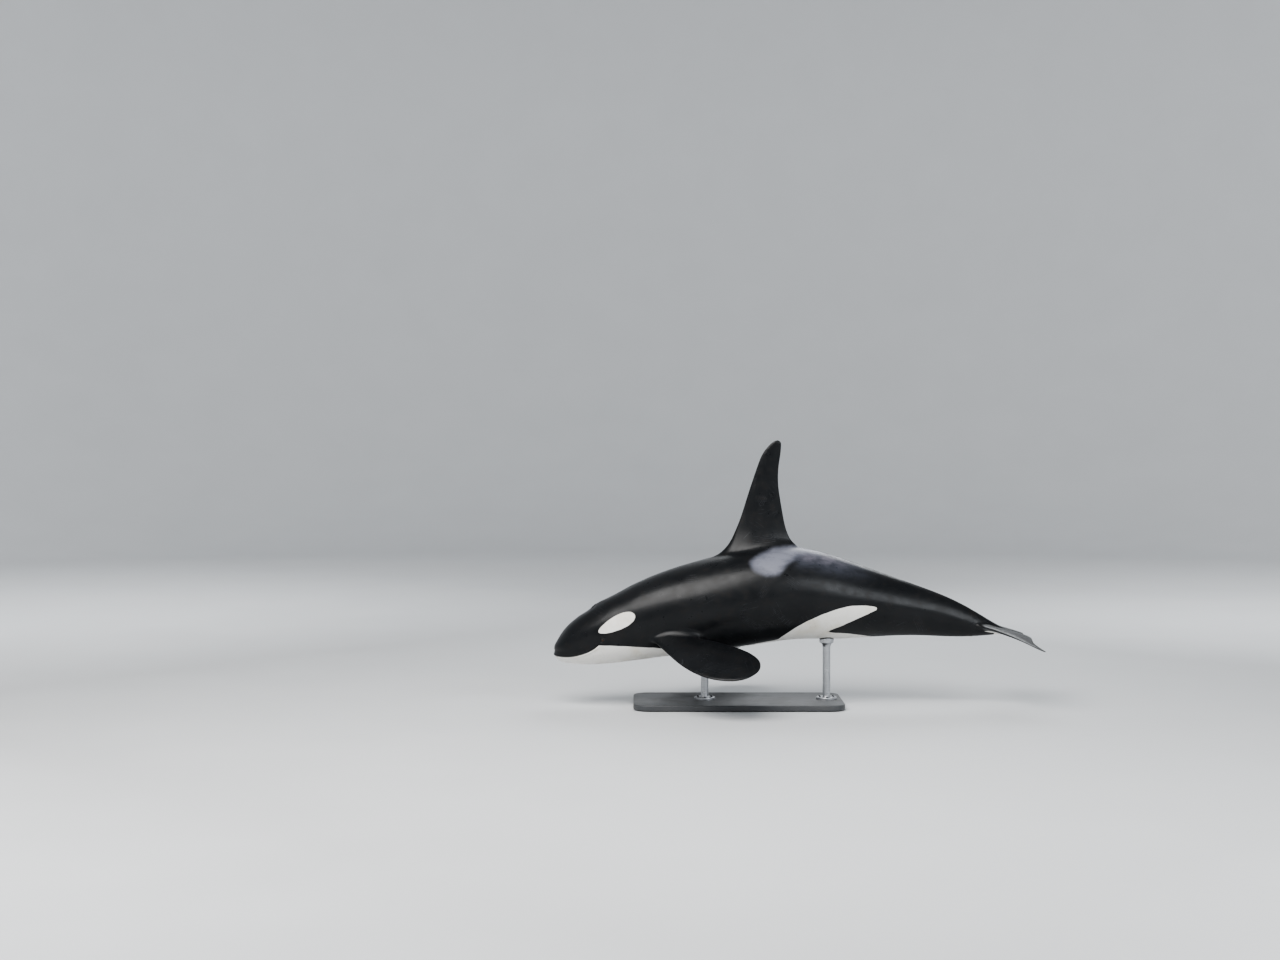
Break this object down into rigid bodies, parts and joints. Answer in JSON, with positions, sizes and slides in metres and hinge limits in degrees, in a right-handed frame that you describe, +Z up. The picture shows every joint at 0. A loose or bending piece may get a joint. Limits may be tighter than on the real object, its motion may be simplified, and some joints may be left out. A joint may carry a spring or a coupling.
{
  "type": "orca museum model",
  "caption": "Life-size adult male orca rolling forward with arched back and tall dorsal fin, on a plain display stand.",
  "frame": {"origin": "middle of the underside of the stand's base", "axes": "+Z up, -X toward the head, +X toward the tail, -Y toward the animal's left flank"},
  "size_m": [6.8695, 3.6138, 3.814],
  "materials": {
    "skin": "satin, wet looking",
    "skin_white": "satin, wet looking",
    "eye": "gloss",
    "stand_paint": "fine matt texture",
    "stand_steel": "brushed"
  },
  "bodies": {
    "root": {"head": "skin", "lower_jaw": "skin_white", "thorax": "skin", "abdomen": "skin", "tail_stock_front": "skin", "tail_stock_rear": "skin", "dorsal_fin": "skin", "flipper_left": "skin", "flipper_right": "skin", "fluke_left": "skin", "fluke_right": "skin", "eye_left": "eye", "eye_right": "eye", "stand_base": "stand_paint", "stand_rod_front": "stand_steel", "stand_rod_rear": "stand_steel"}
  },
  "joints": []
}
